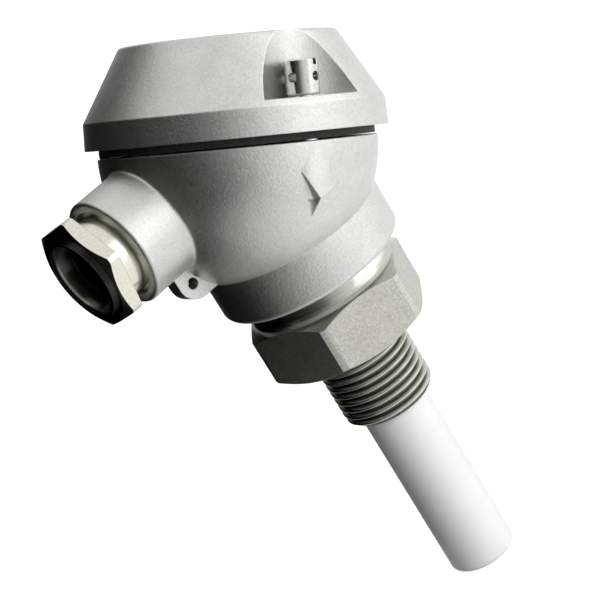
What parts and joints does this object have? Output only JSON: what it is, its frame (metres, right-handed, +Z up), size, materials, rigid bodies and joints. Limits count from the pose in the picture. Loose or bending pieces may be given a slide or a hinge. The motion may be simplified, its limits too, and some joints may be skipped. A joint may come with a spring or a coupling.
{
  "type": "capacitive proximity sensor",
  "caption": "Level probe: round cast head with a tilted hinged cover and a side cable entry, above a hexagon with a male pipe thread and a plain insulated sensing rod.",
  "frame": {"origin": "centre of the hexagon's lower face, where the sensor seals on the vessel", "axes": "+Z up the probe axis towards the head, -X out of the cable entry, -Y towards the cover's lock screw"},
  "size_m": [0.076, 0.0684, 0.1388],
  "materials": {
    "bare_brass": "drawn",
    "board_laminate": "lacquered laminate",
    "cast_aluminium": "blasted casting, satin",
    "lens_plastic": "clear moulded, orange",
    "module_plastic": "fine grained",
    "nickel_plate": "nickel plated, satin",
    "plated_steel": "zinc plated",
    "seal_rubber": "matt",
    "stainless_steel": "machined, satin",
    "terminal_plastic": "moulded",
    "trimmer_plastic": "moulded",
    "white_fluoropolymer": "turned, matt"
  },
  "bodies": {
    "head": {"circuit_board": "board_laminate", "earth_screw": "plated_steel", "earth_washer": "bare_brass", "electrode": "stainless_steel", "electrode_nut": "plated_steel", "electrode_washer": "plated_steel", "gland_seal": "seal_rubber", "gland_washer": "nickel_plate", "head_body": "cast_aluminium", "hinge_pin": "stainless_steel", "indicator_lens": "lens_plastic", "insulating_bush": "terminal_plastic", "module_housing": "module_plastic", "module_screws": "plated_steel", "neck_seal": "seal_rubber", "probe_rod": "white_fluoropolymer", "process_connection": "stainless_steel", "rod_seal": "seal_rubber", "terminal_block": "terminal_plastic", "terminal_clamps": "bare_brass", "terminal_screws": "plated_steel"},
    "lid": {"cover": "cast_aluminium", "cover_gasket": "seal_rubber"},
    "lock": {"lock_screw": "plated_steel", "screw_retainer": "plated_steel"},
    "gland": {"gland_nut": "nickel_plate"},
    "trimmer": {"sensitivity_trimmer": "trimmer_plastic"}
  },
  "joints": [
    {"name": "cover_hinge", "type": "hinge", "parent": "head", "child": "lid", "pos_m": [0.00045, 0.0345, 0.04922], "axis": [-0.866, 0, 0.5], "range_deg": [0, 115]},
    {"name": "lock_screw_turn", "type": "hinge", "parent": "lid", "child": "lock", "pos_m": [0.00042, -0.02535, 0.05027], "axis": [0.5, 0, 0.866], "continuous": true},
    {"name": "gland_screw_turn", "type": "hinge", "parent": "head", "child": "gland", "pos_m": [-0.0415, 0, 0.04844], "axis": [-1, 0, 0], "continuous": true},
    {"name": "sensitivity_turn", "type": "hinge", "parent": "head", "child": "trimmer", "pos_m": [0.0085, -0.01, 0.0415], "axis": [0, 0, 1], "range_deg": [-135, 135]}
  ]
}
